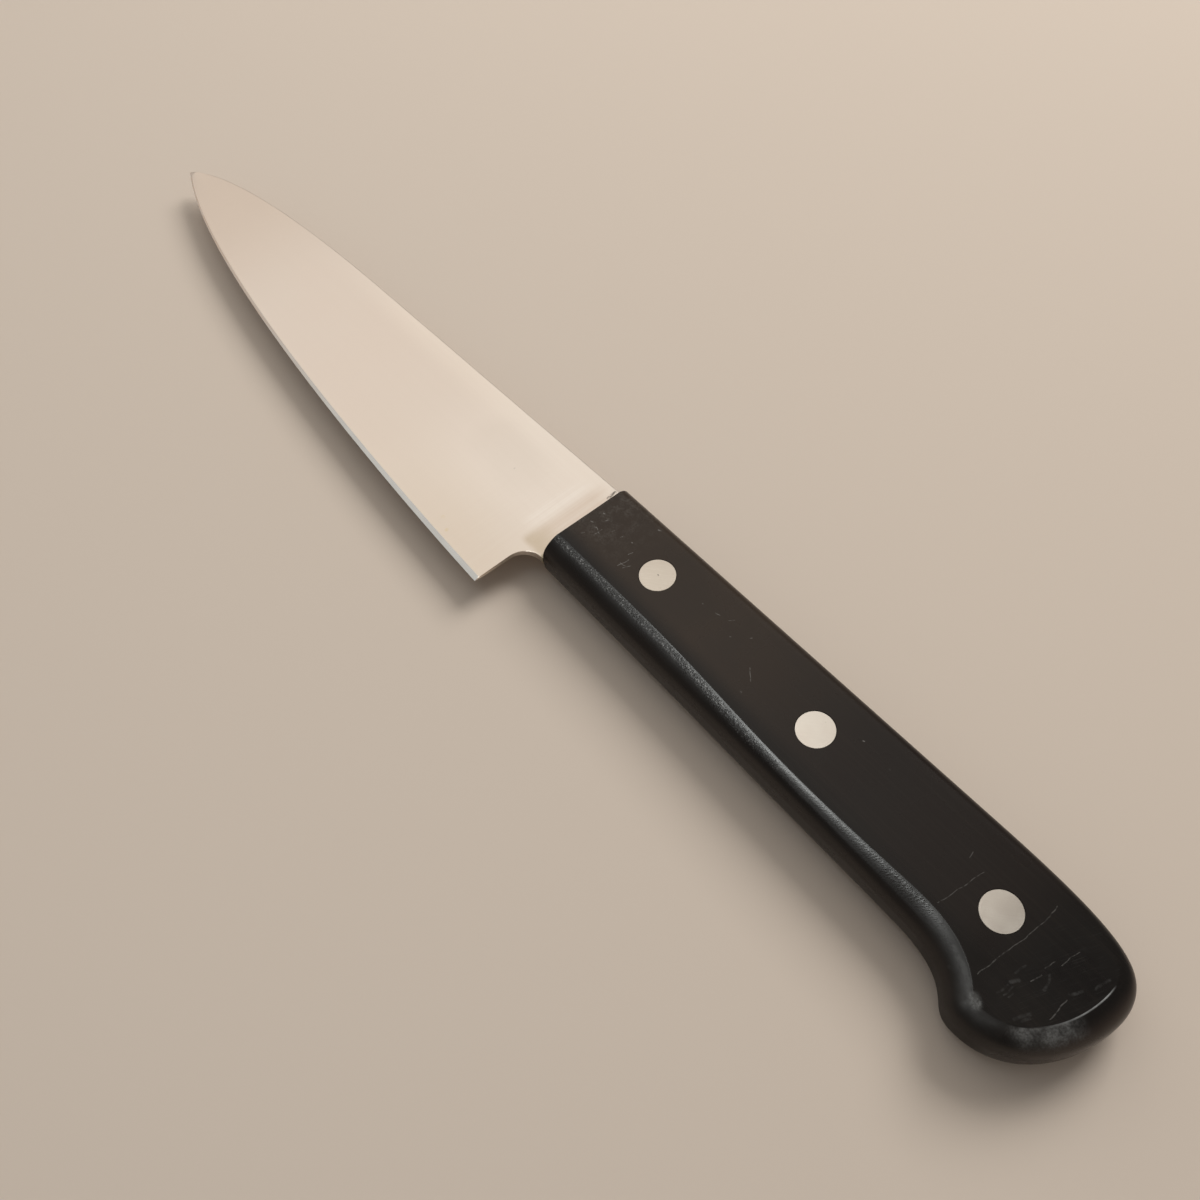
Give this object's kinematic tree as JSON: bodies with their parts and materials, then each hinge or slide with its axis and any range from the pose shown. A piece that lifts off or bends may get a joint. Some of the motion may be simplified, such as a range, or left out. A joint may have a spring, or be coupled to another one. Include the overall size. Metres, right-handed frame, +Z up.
{
  "type": "petty knife",
  "caption": "Small kitchen knife: a pointed tapered steel blade with a hidden riveted tang in a black one-piece handle with a rounded belly and a hooked butt.",
  "frame": {"origin": "middle of the bounding box in plan, on the surface that the handle's lower flat rests on", "axes": "+X towards the tip, +Y towards the cutting edge, +Z up through the handle's upper flat, with the knife lying on its side"},
  "size_m": [0.2366, 0.0314, 0.0093],
  "materials": {
    "blade_steel": "satin ground stainless steel",
    "black_wood": "black laminated wood with a worn satin surface",
    "rivet_metal": "ground flush with the handle"
  },
  "bodies": {
    "root": {"blade": "blade_steel", "handle": "black_wood", "front_rivet_pin": "rivet_metal", "front_rivet_sleeve": "rivet_metal", "middle_rivet_pin": "rivet_metal", "middle_rivet_sleeve": "rivet_metal", "rear_rivet_pin": "rivet_metal", "rear_rivet_sleeve": "rivet_metal"}
  },
  "joints": []
}
